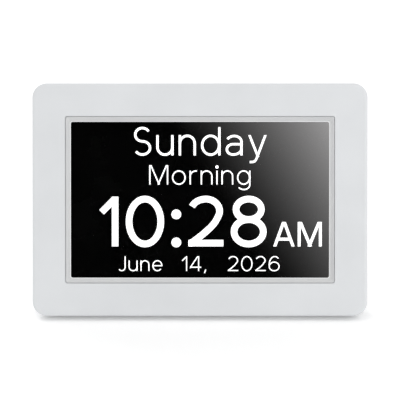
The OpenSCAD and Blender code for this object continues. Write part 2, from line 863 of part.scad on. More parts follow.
// Everything that stands inside the cover, drawn solid
module rear_insides() {
    wall_top = recess_top + recess_wall;
    at_cover_screws() bar(tube_d, flange_front, cover_inner + eps);
    at_board_holes() bar(board_post_d, board_back, cover_inner + eps);
    for (x = [-1, 1]) at(x * keyhole_pitch / 2, keyhole_z)
        slab(cover_inner - keyhole_pocket - 1.2, cover_inner + eps) keyhole_room(1.2);
    slab(recess_floor - recess_wall, cover_inner + eps)
        translate([-recess_half - recess_wall, cover_inset + 1])
            square([2 * (recess_half + recess_wall), wall_top - cover_inset - 1]);
    translate([-ear_x, recess_floor - recess_wall, hinge_h - 5])
        cube([2 * ear_x, cover_inner - recess_floor + recess_wall + eps, 10]);
    at(recess_half, scoop_z) bar(2 * (scoop_r + recess_wall), recess_floor - recess_wall, cover_inner + eps);
    at(-side_x, side_z) {
        difference() {
            bar(speaker_d + 3, hook_front, cover_inner + eps);
            bar(speaker_d + 2 * slip, hook_front - 1, cover_inner + 1);
        }
        for (turn = [90, 210, 330]) rotate([0, turn, 0])
            translate([speaker_d / 2 - 1, hook_front, -3]) cube([2, hook_t, 6]);
    }
}

// Everything that is cut through the cover
module rear_cuts() {
    at_cover_screws() {
        bar(sink_d, sink_floor, clock_depth + 1);
        bar(cover_screw_d + screw_room, flange_front - 1, sink_floor + 1);
    }
    at_board_holes() bar(board_screw_d + slip, board_back - 1, cover_inner - 1);
    for (x = [-1, 1]) at(x * keyhole_pitch / 2, keyhole_z) {
        slab(cover_inner - eps, clock_depth + 1) keyhole_shape();
        slab(cover_inner - keyhole_pocket, cover_inner) keyhole_room(0);
    }
    slab(recess_floor, clock_depth + 1)
        translate([-recess_half, -1]) square([2 * recess_half, recess_top + 1]);
    at(recess_half, scoop_z) bar(2 * scoop_r, recess_floor, clock_depth + 1);
    translate([-pin_len / 2 - slip, hinge_y, hinge_h]) rotate([0, 90, 0])
        cylinder(d = pin_d + pin_seat, h = pin_len + 1);
    // The groove that the pin is slid in along, open to the inside of the cover
    translate([ear_x, hinge_y, hinge_h]) rotate([0, 90, 0])
        cylinder(d = pin_d + 2 * guide_gap, h = pin_len + 1);
    for (i = [0 : button_count - 1]) at(button_x(i), button_z)
        slab(cover_inner - 1, clock_depth + 1)
            rounded(button_w + 2 * guide_gap, button_h + 2 * guide_gap, button_r + guide_gap);
    at(-side_x, side_z) bar(grille_hole_d, cover_inner - 1, clock_depth + 1);
    for (ring = [1 : grille_rings], k = [0 : 6 * ring - 1])
        at(-side_x, side_z) rotate([0, 60 * k / ring, 0]) at(ring * grille_step, 0)
            bar(grille_hole_d, cover_inner - 1, clock_depth + 1);
    for (i = [0 : vent_count - 1])
        at(side_x, side_z + (i - (vent_count - 1) / 2) * vent_step)
            slab(cover_inner - 1, clock_depth + 1) rounded(vent_len, vent_w, vent_w / 2 - eps);
    translate([cover_half - 1, jack_axis_y, jack_z]) rotate([0, 90, 0])
        cylinder(d = jack_hole_d, h = cover_wall + 2);
    for (x = [-1, 1]) translate([x * foot_pitch / 2, foot_front + foot_depth / 2, cover_inset - 1])
        cylinder(d = foot_peg_d + slip, h = cover_wall + 2);
}

module rear_cover() {
    lean_back() color("gainsboro") difference() {
        union() {
            rear_shell();
            rear_insides();
        }
        rear_cuts();
    }
}

module cover_screws() {
    lean_back() color("gray") at_cover_screws() translate([0, sink_floor, 0]) rotate([-90, 0, 0])
        cross_screw(sink_d - 0.8, 1.8, cover_screw_d, sink_floor - face_t - 1.5);
}

// A rubber wedge under the cover, cut level with the table, with a peg pushed into the cover
function table_z(y) = (y * sin(lean) - lift) / cos(lean);
module rubber_foot(side) {
    foot_back = foot_front + foot_depth;
    lean_back() color("dimgray") translate([side * foot_pitch / 2, 0, 0]) {
        strip(-foot_w / 2, foot_w / 2) polygon([
            [foot_front, table_z(foot_front)], [foot_back, table_z(foot_back)],
            [foot_back, cover_inset], [foot_front, cover_inset]
        ]);
        translate([0, foot_front + foot_depth / 2, cover_inset - eps])
            cylinder(d = foot_peg_d, h = cover_wall + 0.5);
    }
}

module left_foot() rubber_foot(-1);
module right_foot() rubber_foot(1);

// Opens a piece drawn as part of the shut leg, with the hinge's axis at the origin
module on_hinge() {
    translate([0, hinge_y, hinge_h]) rotate([leg_open, 0, 0]) children();
}

// The flat leg, whose sloping heel meets the recess's floor when the leg is open
module stand_leg() {
    half_t = leg_t / 2;
    stop_y = hinge_y - recess_floor - stop_gap;
    heel_y = (heel_len * sin(leg_open) - stop_y) / cos(leg_open);
    lean_back() color("gainsboro") on_hinge() difference() {
        union() {
            difference() {
                slab(-half_t, half_t) {
                    translate([-leg_w / 2, -leg_len + 8]) square([leg_w, leg_len - 8]);
                    translate([0, -leg_len + 10]) rounded(leg_w, 20, 6);
                }
                slab(-half_t - 1, half_t - 1.8) leg_panels();
            }
            strip(-leg_w / 2, leg_w / 2) {
                circle(half_t);
                polygon([[-half_t * cos(leg_open), half_t * sin(leg_open)], [0, 0], [half_t, 0],
                    [half_t, heel_len], [heel_y, heel_len]]);
            }
        }
        translate([-leg_w / 2 - 1, 0, 0]) rotate([0, 90, 0]) cylinder(d = pin_d + pin_run, h = leg_w + 2);
        leg_pad_block(slip, pad_grip + slip);
        slab(half_t - 0.6, half_t + 1) translate([0, -leg_len + 16]) rounded(20, 5, 2.4);
    }
}

// Two hollows in the leg's hidden side, with a rib left between and round them
module leg_panels() {
    panel_h = (leg_len - 32) / 2;
    for (row = [0, 1]) translate([0, -9 - panel_h / 2 - row * (panel_h + 3)])
        rounded(leg_w - 8, panel_h, 2);
}

// The pad's block, cut level with the table at its foot
module leg_pad_block(gap, grip) {
    half = (pad_t + gap) / 2;
    top = -leg_len + grip;
    foot = [for (y = [-half, half]) [y, -(hinge_world_z + y * sin(leg_tilt)) / cos(leg_tilt)]];
    strip(-(pad_w + gap) / 2, (pad_w + gap) / 2)
        polygon([foot[0], foot[1], [half, top], [-half, top]]);
}

module leg_pad() {
    lean_back() color("dimgray") on_hinge() leg_pad_block(0, pad_grip);
}

module hinge_pin() {
    lean_back() color("silver") translate([-pin_len / 2, hinge_y, hinge_h]) rotate([0, 90, 0])
        cylinder(d = pin_d, h = pin_len);
}

front_frame();
screen_trim();
screen_window();
foam_gasket();
lcd_bezel();
lcd_glass();
backlight_frame();
diffuser_films();
light_guide();
reflector_sheet();
led_strip();
lcd_tray();
lcd_tail();
panel_clamps();
clamp_screws();
main_board();
board_chips();
tail_connector();
key_switches();
menu_plunger();
back_plunger();
down_plunger();
up_plunger();
set_plunger();
menu_button();
back_button();
down_button();
up_button();
set_button();
cell_holder();
backup_cell();
capacitors();
power_coil();
power_socket();
power_contact();
speaker_basket();
speaker_magnet();
speaker_cone();
speaker_foam();
speaker_connector();
red_wire();
black_wire();
board_screws();
rear_cover();
cover_screws();
left_foot();
right_foot();
stand_leg();
leg_pad();
hinge_pin();
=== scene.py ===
from math import cos, radians, sin

import bmesh
import bpy
from mathutils import Matrix, Vector


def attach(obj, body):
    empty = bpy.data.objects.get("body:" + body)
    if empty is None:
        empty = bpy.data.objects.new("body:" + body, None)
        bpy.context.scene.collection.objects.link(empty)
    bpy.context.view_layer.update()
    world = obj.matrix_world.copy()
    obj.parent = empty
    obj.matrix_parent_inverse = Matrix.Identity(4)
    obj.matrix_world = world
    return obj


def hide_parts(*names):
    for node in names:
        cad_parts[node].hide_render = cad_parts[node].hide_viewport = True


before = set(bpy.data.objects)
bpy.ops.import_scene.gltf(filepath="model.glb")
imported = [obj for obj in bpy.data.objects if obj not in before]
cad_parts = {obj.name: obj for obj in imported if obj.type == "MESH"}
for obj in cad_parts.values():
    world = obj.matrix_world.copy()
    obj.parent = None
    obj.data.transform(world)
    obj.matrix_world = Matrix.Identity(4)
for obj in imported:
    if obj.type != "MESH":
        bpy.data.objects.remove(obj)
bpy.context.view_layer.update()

# Front frame: one injection moulding in a cool, pale grey ABS with a very fine satin texture from
# the tool. Posts on its inside take the screws of the display's straps and of the rear cover.
LEAN = radians(15)
SET_FORWARD, SET_UP = 0.0288928, 0.003347
stand_up = Matrix.Translation((0, -SET_FORWARD, SET_UP)) @ Matrix.Rotation(-LEAN, 4, "X")


def shade(red, green, blue):
    """A colour as a swatch card gives it, from 0 to 255, as the light that it sends back."""
    return tuple(
        c / 12.92 if c <= 0.04045 else ((c + 0.055) / 1.055) ** 2.4
        for c in (red / 255, green / 255, blue / 255)
    ) + (1.0,)


def upright_mm(tree):
    """Where a point lies on the clock stood upright, in millimetres."""
    here = tree.nodes.new("ShaderNodeTexCoord")
    turn = tree.nodes.new("ShaderNodeMapping")
    turn.inputs["Rotation"].default_value = (LEAN, 0, 0)
    turn.inputs["Scale"].default_value = (1000, 1000, 1000)
    back = Matrix.Rotation(LEAN, 3, "X") @ -stand_up.translation
    turn.inputs["Location"].default_value = back * 1000
    tree.links.new(here.outputs["Object"], turn.inputs["Vector"])
    return turn.outputs["Vector"]


def speckle(tree, place, per_mm, detail=3.0, stretch=(1, 1, 1)):
    """Soft random mottling with so many spots to a millimetre."""
    squeeze = tree.nodes.new("ShaderNodeMapping")
    squeeze.inputs["Scale"].default_value = stretch
    spots = tree.nodes.new("ShaderNodeTexNoise")
    spots.inputs["Scale"].default_value = per_mm
    spots.inputs["Detail"].default_value = detail
    tree.links.new(place, squeeze.inputs["Vector"])
    tree.links.new(squeeze.outputs["Vector"], spots.inputs["Vector"])
    return spots.outputs["Fac"]


def between(tree, amount, low, high, from_low=0.35, from_high=0.65):
    """A number that runs from low to high as an amount rises."""
    span = tree.nodes.new("ShaderNodeMapRange")
    span.inputs["From Min"].default_value = from_low
    span.inputs["From Max"].default_value = from_high
    span.inputs["To Min"].default_value = low
    span.inputs["To Max"].default_value = high
    tree.links.new(amount, span.inputs["Value"])
    return span.outputs["Result"]


def two_tone(tree, amount, one, other):
    """A colour that wanders between two near tones."""
    blend = tree.nodes.new("ShaderNodeMix")
    blend.data_type = "RGBA"
    blend.inputs["A"].default_value = one
    blend.inputs["B"].default_value = other
    tree.links.new(amount, blend.inputs["Factor"])
    return blend.outputs["Result"]


def surface(
    name, one, other, rough, grain=4.0, relief=0.02, patch=0.12, stretch=(1, 1, 1), edge=0.0,
    metal=0.0,
):
    """A real surface: two near tones in wide patches, uneven polish, a fine relief, soft edges."""
    made = bpy.data.materials.new(name)
    made.use_nodes = True
    tree = made.node_tree
    body = tree.nodes["Principled BSDF"]
    body.inputs["Metallic"].default_value = metal
    place = upright_mm(tree)
    patches = speckle(tree, place, patch, 4.0, stretch)
    fine = speckle(tree, place, grain, 2.0, stretch)
    tree.links.new(
        two_tone(tree, between(tree, patches, 0, 1), one, other), body.inputs["Base Color"]
    )
    tree.links.new(
        between(tree, patches, rough[0], rough[1]), body.inputs["Roughness"]
    )
    bump = tree.nodes.new("ShaderNodeBump")
    bump.inputs["Strength"].default_value = 0.5
    bump.inputs["Distance"].default_value = relief / 1000
    tree.links.new(fine, bump.inputs["Height"])
    if edge:
        soften = tree.nodes.new("ShaderNodeBevel")
        soften.samples = 6
        soften.inputs["Radius"].default_value = edge / 1000
        tree.links.new(soften.outputs["Normal"], bump.inputs["Normal"])
    tree.links.new(bump.outputs["Normal"], body.inputs["Normal"])
    return made


def dress(material, *nodes):
    """Gives CAD pieces their finish."""
    for node in nodes:
        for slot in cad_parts[node].material_slots:
            slot.material = material


frame_plastic = surface(
    "frame_plastic", shade(222, 224, 226), shade(225, 227, 229), (0.42, 0.5),
    grain=5.0, relief=0.012, patch=0.03, edge=0.25,
)
dress(frame_plastic, "front_frame")

# Screen surround: a satin silver-grey moulding with mitred corners. From a narrow outer edge it
# slopes down to a flat lip with a rounded inner corner, on which a bright highlight is painted.
# Its hidden flange is glued to the frame.
CASE_MIDDLE = 69.5
VIEW = (154.1, 93.0)
surround_grey = surface(
    "surround_grey", shade(209, 210, 211), shade(213, 214, 214), (0.3, 0.4),
    grain=3.0, relief=0.006, patch=0.05,
)
# Painted highlight: a paler, glossier grey on the lip's rounded inner corner, standing in for the
# light it catches.
surround_painted_highlight = surface(
    "surround_painted_highlight", shade(242, 243, 244), shade(246, 247, 248), (0.12, 0.2),
    grain=3.0, relief=0.003, patch=0.05,
)
# Each point lies so far out from the opening's edge and so far back from the face.
SURROUND = [
    (0.0, 2.58), (0.0, 2.22), (0.4, 2.0), (1.2, 2.0), (2.7, 0.52), (2.98, 0.55), (3.2, 0.72),
    (3.3, 1.0), (3.3, 2.52), (5.4, 2.52), (5.4, 3.78), (1.7, 3.78), (1.7, 2.58),
]
CORNER = 0.9
# The lip's opening sits a touch low, and a highlight is painted on its rounded inner corner only.
LIP_REACH, LIP_DROP = 0.9, 0.1
PAINTED_HIGHLIGHT_REACH, PAINTED_HIGHLIGHT_DEPTHS = 0.45, (2.0, 2.21)


def rectangle_swept(size, section, corner):
    """A closed section swept round a rectangle with mitred corners, which are then rounded."""
    shape = bmesh.new()
    bmesh.ops.create_grid(shape, x_segments=1, y_segments=1, size=0.5)
    bmesh.ops.delete(shape, geom=shape.faces[:], context="FACES_ONLY")
    bmesh.ops.rotate(shape, verts=shape.verts, matrix=Matrix.Rotation(radians(90), 3, "X"))
    now = (1.0, 1.0)
    loop = shape.edges[:]
    first, here = loop, shape.verts[:]
    depth = 0.0
    for step, (out, deep) in enumerate(section):
        if step:
            grown = bmesh.ops.extrude_edge_only(shape, edges=loop)["geom"]
            loop = [g for g in grown if isinstance(g, bmesh.types.BMEdge)]
            here = [g for g in grown if isinstance(g, bmesh.types.BMVert)]
        want = (size[0] + 2 * out, size[1] + 2 * out)
        bmesh.ops.scale(shape, vec=(want[0] / now[0], 1, want[1] / now[1]), verts=here)
        bmesh.ops.translate(shape, vec=(0, deep - depth, 0), verts=here)
        now, depth = want, deep
    bmesh.ops.bridge_loops(shape, edges=loop + first)
    bmesh.ops.recalc_face_normals(shape, faces=shape.faces)
    mitres = [
        e for e in shape.edges
        if e.verts[0].co.x * e.verts[1].co.x > 0 and e.verts[0].co.z * e.verts[1].co.z > 0
    ]
    bmesh.ops.bevel(
        shape, geom=mitres, offset=corner, affect="EDGES", segments=3, profile=0.5, material=-1,
    )
    return shape


def settle(name, shape, material, body):
    """Turns a finished shape, drawn upright in millimetres, into a piece of the leaning clock."""
    bmesh.ops.translate(shape, vec=(0, 0, CASE_MIDDLE), verts=shape.verts)
    bmesh.ops.scale(shape, vec=(0.001, 0.001, 0.001), verts=shape.verts)
    bmesh.ops.transform(shape, matrix=stand_up, verts=shape.verts)
    bmesh.ops.recalc_face_normals(shape, faces=shape.faces)
    mesh = bpy.data.meshes.new(name)
    shape.to_mesh(mesh)
    shape.free()
    mesh.materials.append(material)
    piece = bpy.data.objects.new(name, mesh)
    bpy.context.scene.collection.objects.link(piece)
    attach(piece, body)
    return piece


band = rectangle_swept(VIEW, SURROUND, CORNER)


def within(place, reach):
    """Whether a place lies less than so far out from the opening's edge."""
    return abs(place.x) < VIEW[0] / 2 + reach and abs(place.z) < VIEW[1] / 2 + reach


lip = [v for v in band.verts if within(v.co, LIP_REACH)]
bmesh.ops.translate(band, verts=lip, vec=(0, 0, -LIP_DROP))
# Faces on the lip's rounded inner corner take the second material, the painted highlight.
for face in band.faces:
    middle = face.calc_center_median()
    in_painted_highlight = within(middle + Vector((0, 0, LIP_DROP)), PAINTED_HIGHLIGHT_REACH)
    face.material_index = int(in_painted_highlight and PAINTED_HIGHLIGHT_DEPTHS[0] < middle.y < PAINTED_HIGHLIGHT_DEPTHS[1])
    face.smooth = True
surround = settle("screen_surround", band, surround_grey, "clock")
surround.data.materials.append(surround_painted_highlight)
surround.data.set_sharp_from_angle(angle=radians(12))
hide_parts("screen_trim")

# Window: a clear acrylic plate, cut and dropped into the surround's seat from behind. It lets the
# picture through and gives the screen its gloss.
def sum_of(tree, kind, a, b, c=None):
    """One step of arithmetic."""
    step = tree.nodes.new("ShaderNodeMath")
    step.operation = kind
    for socket, value in zip(step.inputs, (a, b, c)):
        if value is None:
            continue
        if isinstance(value, (int, float)):
            socket.default_value = value
        else:
            tree.links.new(value, socket)
    return step.outputs["Value"]


clear_window = bpy.data.materials.new("clear_window")
clear_window.use_nodes = True
tree = clear_window.node_tree
tree.nodes.remove(tree.nodes["Principled BSDF"])
through = tree.nodes.new("ShaderNodeBsdfTransparent")
through.inputs["Color"].default_value = (0.985, 0.985, 0.985, 1)
sheen = tree.nodes.new("ShaderNodeBsdfGlossy")
tree.links.new(
    between(tree, speckle(tree, upright_mm(tree), 0.06, 4.0), 0.02, 0.05),
    sheen.inputs["Roughness"],
)
edge_on = tree.nodes.new("ShaderNodeLayerWeight")
edge_on.inputs["Blend"].default_value = 0.5
join = tree.nodes.new("ShaderNodeMixShader")
HEAD_ON = 0.035
glance = sum_of(tree, "POWER", edge_on.outputs["Facing"], 5)
tree.links.new(sum_of(tree, "MULTIPLY_ADD", glance, 1 - HEAD_ON, HEAD_ON), join.inputs["Fac"])
tree.links.new(through.outputs["BSDF"], join.inputs[1])
tree.links.new(sheen.outputs["BSDF"], join.inputs[2])
tree.links.new(join.outputs["Shader"], tree.nodes["Material Output"].inputs["Surface"])
dress(clear_window, "screen_window")

# Gasket: a die-cut ring of black closed-cell foam with an adhesive face, pressed between the
# surround and the display to keep dust off the glass.
foam = surface(
    "foam", shade(22, 22, 23), shade(36, 36, 38), (0.85, 0.95), grain=2.2, relief=0.25, patch=0.8,
)
dress(foam, "foam_gasket")

# Display shell: a bezel and a tray folded from thin zinc-plated sheet steel and clipped together.
# The rolled sheet keeps a faint lengthwise grain.
plated_steel = surface(
    "plated_steel", shade(178, 181, 184), shade(193, 196, 198), (0.28, 0.42),
    grain=1.6, relief=0.01, patch=0.25, stretch=(0.12, 1, 1), metal=1.0,
)
dress(plated_steel, "lcd_bezel", "lcd_tray")

# Picture: the liquid-crystal cell, two sheets of polarised glass that show black to the left and a
# soft grey gradient to the upper right, a reflection painted into the cell's light. The cell's own
# light makes the picture.
PAINTED_REFLECTION_SLANT = (0.006246, 0, 0.003879)
PAINTED_REFLECTION_START, PAINTED_REFLECTION_LEAST, PAINTED_REFLECTION_BLEND = 0.3092, 0.012, 0.06
PAINTED_REFLECTION_BEND = 2.2
panel_painted_reflection = bpy.data.materials.new("panel_painted_reflection")
panel_painted_reflection.use_nodes = True
tree = panel_painted_reflection.node_tree
cell = tree.nodes["Principled BSDF"]
cell.inputs["Base Color"].default_value = (0.0007, 0.0007, 0.0007, 1)
cell.inputs["Specular IOR Level"].default_value = 0.1
cell.inputs["Emission Strength"].default_value = 1.0
place = upright_mm(tree)
slant = tree.nodes.new("ShaderNodeVectorMath")
slant.operation = "DOT_PRODUCT"
slant.inputs[1].default_value = PAINTED_REFLECTION_SLANT
tree.links.new(place, slant.inputs[0])
# The gradient rises towards the upper right. It is a painted reflection, given off as the cell's
# light.
rise = sum_of(tree, "SUBTRACT", slant.outputs["Value"], PAINTED_REFLECTION_START)
painted_reflection = sum_of(
    tree, "POWER", sum_of(tree, "SMOOTH_MAX", rise, PAINTED_REFLECTION_LEAST, PAINTED_REFLECTION_BLEND), PAINTED_REFLECTION_BEND
)
level = tree.nodes.new("ShaderNodeCombineColor")
tree.links.new(painted_reflection, level.inputs["Red"])
for part in ("Green", "Blue"):
    tree.links.new(sum_of(tree, "MULTIPLY", painted_reflection, 0.985), level.inputs[part])
tree.links.new(level.outputs["Color"], cell.inputs["Emission Color"])
tree.links.new(
    between(tree, speckle(tree, place, 0.05, 4.0), 0.22, 0.3), cell.inputs["Roughness"]
)
dress(panel_painted_reflection, "lcd_glass")

# Words and figures: what the picture shows, lit white by the cell: a day, a part of the day, a
# time and a date. They are laid out in picture pixels, and their strokes are drawn one by one.
PX = 0.5965
MIDDLE_COLUMN, MIDDLE_ROW = 200, 199.9
lit_white = bpy.data.materials.new("lit_white")
lit_white.use_nodes = True
tree = lit_white.node_tree
lamp = tree.nodes["Principled BSDF"]
lamp.inputs["Base Color"].default_value = (0.8, 0.8, 0.8, 1)
lamp.inputs["Roughness"].default_value = 0.4
dots = tree.nodes.new("ShaderNodeTexBrick")
dots.offset = 0.0
dots.inputs["Color1"].default_value = (1, 1, 1, 1)
dots.inputs["Color2"].default_value = (0.985, 0.99, 1, 1)
dots.inputs["Mortar"].default_value = (0.93, 0.93, 0.94, 1)
dots.inputs["Scale"].default_value = 5.0
dots.inputs["Mortar Size"].default_value = 0.02
flat = tree.nodes.new("ShaderNodeMapping")
flat.inputs["Rotation"].default_value = (radians(-90), 0, 0)
tree.links.new(upright_mm(tree), flat.inputs["Vector"])
tree.links.new(flat.outputs["Vector"], dots.inputs["Vector"])
tree.links.new(dots.outputs["Color"], lamp.inputs["Emission Color"])
lamp.inputs["Emission Strength"].default_value = 1.09
# The glass lies behind the face, so the words are a little larger to look their right size.
GLASS_FACE = 5.0
PICTURE_SCALE = 1.0025
STROKE_DEEP, OFF_GLASS = 0.02, 0.03
# How tall a small letter is beside a capital.
LOW = 0.72


def bow(middle_x, middle_y, reach_x, reach_y, start, end):
    """Points along part of an oval, from one angle to another."""
    steps = max(3, round(abs(end - start) / 7.5))
    turns = [radians(start + (end - start) * k / steps) for k in range(steps + 1)]
    return [(middle_x + reach_x * cos(t), middle_y + reach_y * sin(t)) for t in turns]


def ring(middle_x, bottom, top, reach, h):
    """A whole oval between two heights."""
    return bow(middle_x, (bottom + top) / 2, reach - h, (top - bottom) / 2 - h, 0, 360)


def sign_plan(sign, w):
    """A sign's width, strokes and dots, where a capital is 1 tall and a stroke w wide."""
    h = w / 2
    half = 0.255 - h / 2
    if sign == "S":
        upper = bow(0.31, 0.5 + half, 0.295 - h, half, 30, 270)
        return 0.62, [upper + bow(0.31, 0.5 - half, 0.31 - h, half, 90, -147)[1:]], []
    if sign == "M":
        return 0.98, [
            [(h, 0), (h, 1)], [(0.98 - h, 0), (0.98 - h, 1)],
            [(h + 0.005, 1.1), (0.54, -0.05)], [(0.975 - h, 1.1), (0.44, -0.05)],
        ], []
    if sign == "A":
        return 0.86, [
            [(h - 0.04, -0.1), (0.435, 1.05)], [(0.9 - h, -0.1), (0.425, 1.05)],
            [(0.18, 0.3), (0.68, 0.3)],
        ], []
    if sign == "J":
        return 0.5, [[(0.5 - h, 1)] + bow(0.24, 0.25, 0.26 - h, 0.26 - h, 0, -145)], []
    if sign == "a":
        return 0.6, [
            bow(0.3, LOW - h - 0.19, 0.3 - h, 0.2, 155, 0) + [(0.6 - h, 0)],
            [(0.6 - h, 0.44 - h)] + bow(0.26, 0.215, 0.26 - h, 0.225 - h, 90, 270)
            + bow(0.27, 0.24, 0.33 - h, 0.25 - h, 270, 345),
        ], []
    if sign == "d":
        return 0.69, [ring(0.34, -0.015, LOW + 0.015, 0.34, h), [(0.69 - h, 0), (0.69 - h, 1)]], []
    if sign == "e":
        return 0.68, [
            bow(0.34, LOW / 2, 0.34 - h, LOW / 2 + 0.015 - h, -4, 320),
            [(h, LOW / 2), (0.68 - h, LOW / 2)],
        ], []
    if sign == "g":
        hook = bow(0.35, -0.02, 0.34 - h, 0.27 - h, 0, -148)
        return 0.69, [ring(0.34, -0.015, LOW + 0.015, 0.34, h), [(0.69 - h, LOW)] + hook], []
    if sign == "i":
        return w, [[(h, 0), (h, LOW)]], [(h, 0.905, 0.085)]
    if sign == "n":
        arch = bow(0.305, LOW + 0.015 - h - 0.27, 0.305 - h, 0.27, 178, 0)
        return 0.61, [[(h, 0), (h, LOW)], arch + [(0.61 - h, 0)]], []
    if sign == "o":
        return 0.71, [ring(0.355, -0.015, LOW + 0.015, 0.355, h)], []
    if sign == "r":
        return 0.38, [
            [(h, 0), (h, LOW)], bow(0.34, LOW + 0.015 - h - 0.26, 0.34 - h, 0.26, 178, 82),
        ], []
    if sign == "u":
        cup = [(h, LOW)] + bow(0.305, h - 0.015 + 0.27, 0.305 - h, 0.27, 180, 358)
        return 0.61, [cup, [(0.61 - h, 0), (0.61 - h, LOW)]], []
    if sign == "y":
        tail = [(0.315, -0.1), (0.285, -0.165), (0.24, -0.21), (0.18, -0.232), (0.07, -0.232)]
        return 0.68, [[(0.01, LOW + 0.12), (0.37, -0.06)], [(0.67, LOW + 0.12)] + tail], []
    if sign == "0":
        return 0.77, [ring(0.385, -0.018, 1.018, 0.385, h)], []
    if sign == "1":
        return 0.385, [[(0.385 - h, 0), (0.385 - h, 1)], [(0.048, 0.688), (0.3, 0.94)]], []
    if sign == "2":
        over = bow(0.348, 0.711, 0.3, 0.307 - h, 158, 90)
        over += bow(0.348, 0.711, 0.342 - h, 0.307 - h, 90, -22)[1:]
        down = [
            (0.568, 0.548), (0.533, 0.488), (0.487, 0.43), (0.43, 0.37), (0.36, 0.306),
            (0.29, 0.246), (0.2, 0.176), (0.1, 0.1), (-0.06, -0.02),
        ]
        return 0.7, [over + down, [(0.0, h), (0.7, h)]], []
    if sign == "4":
        return 0.76, [
            [(-0.05, 0.14), (0.58, 1.08)], [(0.03, 0.26), (0.76, 0.26)], [(0.58, 0), (0.58, 1)],
        ], []
    if sign == "6":
        return 0.745, [
            ring(0.375, -0.018, 0.642, 0.37, h),
            [(h + 0.005, 0.33)] + bow(0.415, 0.449, 0.41 - h, 0.569 - h, 180, 49),
        ], []
    if sign == "8":
        return 0.72, [
            ring(0.36, 0.54 - h, 1.018, 0.32, h), ring(0.36, -0.018, 0.54 + h, 0.36, h),
        ], []
    if sign == ":":
        return 0.195, [], [(0.0975, 0.644, 0.0975), (0.0975, 0.08, 0.0975)]
    # A comma is all that is left.
    return 0.15, [[(0.105, 0.1), (0.02, -0.15)]], []


# Where the ends of slanting strokes are cut off level.
TRIMS = {
    "y": (("top", LOW),), "M": (("top", 1), ("foot", 0)), "A": (("top", 1), ("foot", 0)),
    "1": (("top", 1),), "4": (("top", 1), ("left", 0.0)), "2": (("foot", 0), ("left", 0.0)),
}
CUTS = {"top": (0, 1, 0), "foot": (0, -1, 0), "left": (-1, 0, 0)}


def brush_stroke(points, w):
    """A flat band of even width along a line of points, with square ends."""
    line = bpy.data.curves.new("stroke", "CURVE")
    line.dimensions = "3D"
    line.twist_mode = "Z_UP"
    line.extrude = w / 2
    run = line.splines.new("POLY")
    run.use_cyclic_u = (Vector(points[0]) - Vector(points[-1])).length < 1e-6
    if run.use_cyclic_u:
        points = points[:-1]
    run.points.add(len(points) - 1)
    for spot, (x, y) in zip(run.points, points):
        spot.co = (x, y, 0, 1)
        spot.tilt = radians(90)
    drawn = bpy.data.objects.new("stroke", line)
    bpy.context.scene.collection.objects.link(drawn)
    mesh = bpy.data.meshes.new_from_object(
        drawn.evaluated_get(bpy.context.evaluated_depsgraph_get())
    )
    bpy.data.objects.remove(drawn)
    bpy.data.curves.remove(line)
    return mesh


def add_sign(shape, sign, w, pen):
    """Draws one sign with its left side at the pen and returns its width."""
    wide, strokes, dots = sign_plan(sign, w)
    one = bmesh.new()
    for points in strokes:
        mesh = brush_stroke(points, w)
        one.from_mesh(mesh)
        bpy.data.meshes.remove(mesh)
    for x, y, radius in dots:
        dot = bmesh.ops.create_circle(one, cap_ends=True, segments=28, radius=radius)["verts"]
        bmesh.ops.translate(one, verts=dot, vec=(x, y, 0))
    for side, place in TRIMS.get(sign, ()):
        bmesh.ops.bisect_plane(
            one, geom=one.verts[:] + one.edges[:] + one.faces[:], clear_outer=True,
            plane_co=[place * n * n for n in CUTS[side]], plane_no=CUTS[side],
        )
    bmesh.ops.translate(one, verts=one.verts, vec=(pen, 0, 0))
    mesh = bpy.data.meshes.new("sign")
    one.to_mesh(mesh)
    one.free()
    shape.from_mesh(mesh)
    bpy.data.meshes.remove(mesh)
    return wide


def lit_words(name, words, middle, base, tall, w, gap):
    """A line of words about a column, with its letters' feet on one row, all in pixels."""
    shape = bmesh.new()
    pen = 0.0
    for sign in words:
        pen += add_sign(shape, sign, w, pen) + gap
    pixel = PX * PICTURE_SCALE
    size = tall * pixel
    right, up = (middle - MIDDLE_COLUMN) * pixel, (MIDDLE_ROW - base) * pixel
    bmesh.ops.solidify(
        shape, geom=shape.verts[:] + shape.edges[:] + shape.faces[:], thickness=STROKE_DEEP
    )
    bmesh.ops.translate(shape, vec=(-(pen - gap) / 2, 0, 0), verts=shape.verts)
    bmesh.ops.scale(shape, vec=(size, size, 1), verts=shape.verts)
    bmesh.ops.rotate(shape, verts=shape.verts, matrix=Matrix.Rotation(radians(90), 3, "X"))
    bmesh.ops.translate(shape, verts=shape.verts, vec=(right, GLASS_FACE - OFF_GLASS, up))
    return settle(name, shape, lit_white, "clock")


lit_words("day_words", "Sunday", 200.3, 155.8, 28.3, 0.084, 0.18)
lit_words("part_of_day_words", "Morning", 199.8, 184.9, 19.4, 0.068, 0.195)
lit_words("time_figures", "10:28", 182.9, 246.8, 49.8, 0.132, 0.148)
lit_words("half_day_words", "AM", 297.6, 246.9, 24.6, 0.12, 0.13)
for name, words, middle in (
    ("date_month", "June", 140.3), ("date_day", "14,", 193.9), ("date_year", "2026", 253.8),
):
    lit_words(name, words, middle, 271.5, 14.8, 0.074, 0.195)

# Backlight: a white moulding holds the diffuser films, the clear light guide, a white reflector
# and a strip of small lamps along the lower edge.
white_moulding = surface(
    "white_moulding", shade(232, 232, 228), shade(240, 240, 237), (0.4, 0.5), grain=3.0,
    relief=0.01,
)
dress(white_moulding, "backlight_frame")
film = surface(
    "film", shade(226, 229, 232), shade(236, 238, 240), (0.5, 0.65), grain=8.0, relief=0.004,
)
dress(film, "diffuser_films", "reflector_sheet")
guide = surface(
    "guide", shade(214, 224, 228), shade(224, 233, 236), (0.08, 0.16), grain=1.0, relief=0.004,
)
dress(guide, "light_guide")
lamp_board = surface(
    "lamp_board", shade(226, 222, 196), shade(238, 234, 212), (0.3, 0.45), grain=2.0, relief=0.02,
    patch=0.6,
)
dress(lamp_board, "led_strip")

